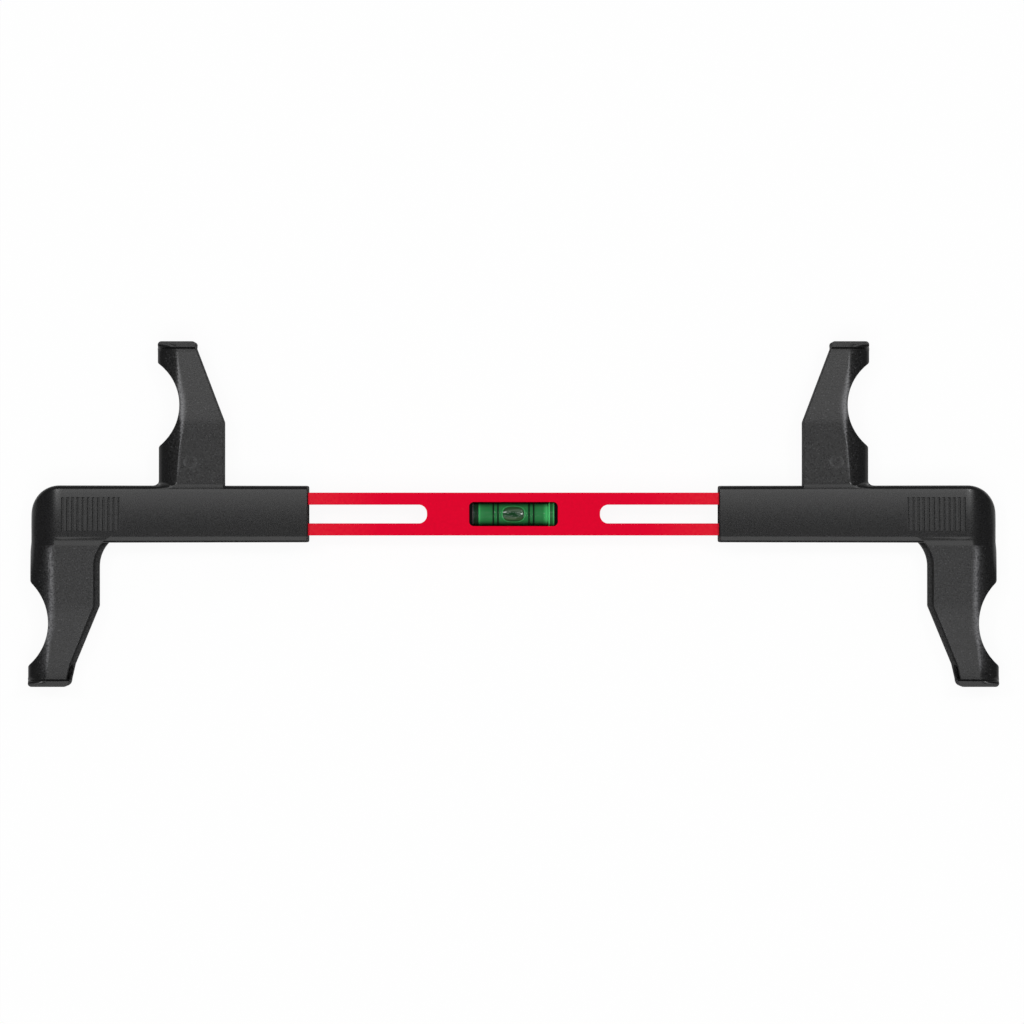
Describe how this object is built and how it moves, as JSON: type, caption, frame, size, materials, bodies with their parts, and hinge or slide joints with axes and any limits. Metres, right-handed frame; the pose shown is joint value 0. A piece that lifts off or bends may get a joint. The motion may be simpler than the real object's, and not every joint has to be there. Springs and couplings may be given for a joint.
{
  "type": "steering wheel level",
  "caption": "Slotted bar with a central bubble vial and two sprung sliding arms whose notched fingers press inside a steering wheel rim to hold and level it.",
  "frame": {"origin": "bottom centre of the box: on the back plane, under the middle of the vial", "axes": "+X along the bar to the right arm, +Y up the face to the upper fingers, +Z out of the front face"},
  "size_m": [0.363, 0.129, 0.017],
  "materials": {
    "red_paint": "satin paint",
    "black_plastic": "fine moulded texture",
    "clear_acrylic": "clear, polished",
    "green_fluid": "clear liquid",
    "air": "clear",
    "dark_plug": "smooth",
    "black_ink": "printed",
    "steel": "zinc plated",
    "black_steel": "black oxide",
    "spring_steel": "drawn wire",
    "brass": "turned"
  },
  "bodies": {
    "bar": {"bar": "red_paint", "vial_barrel": "clear_acrylic", "vial_fluid": "green_fluid", "vial_plug": "dark_plug", "vial_lines": "black_ink", "vial_carrier": "black_plastic", "carrier_screws": "steel", "left_spigot": "brass", "right_spigot": "brass"},
    "bubble": {"bubble": "air"},
    "left_arm": {"left_front_shell": "black_plastic", "left_back_shell": "black_plastic", "left_shell_screws": "black_steel", "left_stop_screw": "black_steel", "left_stop_bush": "steel", "left_spring": "spring_steel"},
    "right_arm": {"right_front_shell": "black_plastic", "right_back_shell": "black_plastic", "right_shell_screws": "black_steel", "right_stop_screw": "black_steel", "right_stop_bush": "steel", "right_spring": "spring_steel"}
  },
  "joints": [
    {"name": "left_arm_slide", "type": "slide", "parent": "bar", "child": "left_arm", "axis": [1, 0, 0], "range_m": [0, 0.0495], "stiffness_N_per_m": 250, "springref_m": -0.02, "deforming": ["left_spring"]},
    {"name": "right_arm_slide", "type": "slide", "parent": "bar", "child": "right_arm", "axis": [-1, 0, 0], "range_m": [0, 0.0495], "stiffness_N_per_m": 250, "springref_m": -0.02, "deforming": ["right_spring"]},
    {"name": "bubble_slide", "type": "slide", "parent": "bar", "child": "bubble", "axis": [1, 0, 0], "range_m": [-0.008, 0.008], "stiffness_N_per_m": 0.02, "deforming": ["vial_fluid"]}
  ]
}
